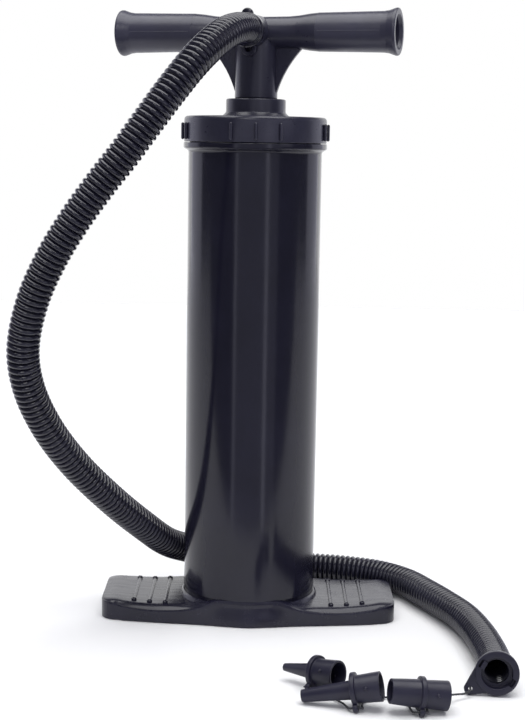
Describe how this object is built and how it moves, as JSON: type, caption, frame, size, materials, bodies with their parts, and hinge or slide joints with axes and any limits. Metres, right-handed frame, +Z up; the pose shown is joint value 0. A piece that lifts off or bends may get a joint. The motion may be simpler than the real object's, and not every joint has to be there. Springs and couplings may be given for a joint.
{
  "type": "double action hand pump",
  "caption": "Upright barrel air pump with T handle, foot wings, screw cap, corrugated hose with bayonet collars and loose nozzles on a string.",
  "frame": {"origin": "on the floor, on the barrel's axis, which is the middle of the foot", "axes": "+Z up along the barrel; +X to the right foot wing, where the hose's free end lies; +Y to the back, away from the hose's free end"},
  "size_m": [0.3671, 0.3293, 0.4789],
  "materials": {
    "barrel_gloss": "satin moulded barrel, near black with a violet cast",
    "body_plastic": "fine satin moulded plastic",
    "foot_plastic": "satin moulded plastic with faint drawn lines on the wings",
    "grip_plastic": "smooth satin",
    "hose_plastic": "corrugated, slightly shiny",
    "nozzle_plastic": "lightly textured",
    "seal_rubber": "dull",
    "bush_plastic": "smooth natural plastic",
    "rod_aluminium": "drawn",
    "screw_steel": "zinc plated",
    "string_cord": "twisted cord"
  },
  "bodies": {
    "root_barrel": {"barrel": "barrel_gloss", "barrel_end_plate": "body_plastic", "cap_gasket": "seal_rubber", "end_plate_oring": "seal_rubber", "foot_base": "foot_plastic", "foot_screw_1": "screw_steel", "foot_screw_2": "screw_steel", "foot_screw_3": "screw_steel", "foot_screw_4": "screw_steel", "hose_end_collar": "nozzle_plastic", "hose_lower": "hose_plastic", "nozzle_adapter": "nozzle_plastic", "nozzle_long": "nozzle_plastic", "nozzle_small": "nozzle_plastic", "nozzle_string": "string_cord", "rod_guide_bush": "bush_plastic", "rod_seal": "seal_rubber", "screw_cap": "body_plastic", "seal_retainer": "body_plastic"},
    "piston_ring": {"piston_ring": "seal_rubber"},
    "plunger": {"air_inner_tube": "body_plastic", "grip_left": "grip_plastic", "grip_right": "grip_plastic", "handle_hub": "body_plastic", "hose_port_collar": "nozzle_plastic", "hose_upper": "hose_plastic", "piston_block": "body_plastic", "piston_screw_1": "screw_steel", "piston_screw_2": "screw_steel", "piston_screw_3": "screw_steel", "piston_screw_4": "screw_steel", "rod_outer_tube": "rod_aluminium", "stop_bumper": "seal_rubber", "stop_sleeve": "bush_plastic", "valve_plate_lower": "body_plastic", "valve_plate_upper": "body_plastic"},
    "intake_flap_lower": {"intake_flap_lower": "seal_rubber"},
    "outlet_flap_lower": {"outlet_flap_lower": "seal_rubber"},
    "intake_flap_upper": {"intake_flap_upper": "seal_rubber"},
    "outlet_flap_upper": {"outlet_flap_upper": "seal_rubber"}
  },
  "joints": [
    {"name": "plunger_slide", "type": "slide", "parent": "root_barrel", "child": "piston_ring", "axis": [0, 0, 1], "range_m": [0, 0.26], "deforming": ["hose_lower"]},
    {"name": "handle_turn", "type": "hinge", "parent": "piston_ring", "child": "plunger", "pos_m": [0, 0, 0.43], "axis": [0, 0, 1], "range_deg": [-45, 45], "deforming": ["hose_upper"]},
    {"name": "intake_flap_lower_hinge", "type": "hinge", "parent": "plunger", "child": "intake_flap_lower", "pos_m": [-0.03788, -0.00933, 0.0223], "axis": [0.2924, 0.9563, 0], "range_deg": [0, 15], "stiffness_Nm_per_rad": 0.002, "springref_deg": -11.46},
    {"name": "outlet_flap_lower_hinge", "type": "hinge", "parent": "plunger", "child": "outlet_flap_lower", "pos_m": [0.03788, 0.00933, 0.0269], "axis": [0.2924, 0.9563, 0], "range_deg": [0, 15], "stiffness_Nm_per_rad": 0.002, "springref_deg": -11.46},
    {"name": "intake_flap_upper_hinge", "type": "hinge", "parent": "plunger", "child": "intake_flap_upper", "pos_m": [0.02619, -0.02892, 0.0435], "axis": [0.2924, 0.9563, 0], "range_deg": [0, 15], "stiffness_Nm_per_rad": 0.002, "springref_deg": -11.46},
    {"name": "outlet_flap_upper_hinge", "type": "hinge", "parent": "plunger", "child": "outlet_flap_upper", "pos_m": [-0.02619, 0.02892, 0.0389], "axis": [0.2924, 0.9563, 0], "range_deg": [0, 15], "stiffness_Nm_per_rad": 0.002, "springref_deg": -11.46}
  ]
}
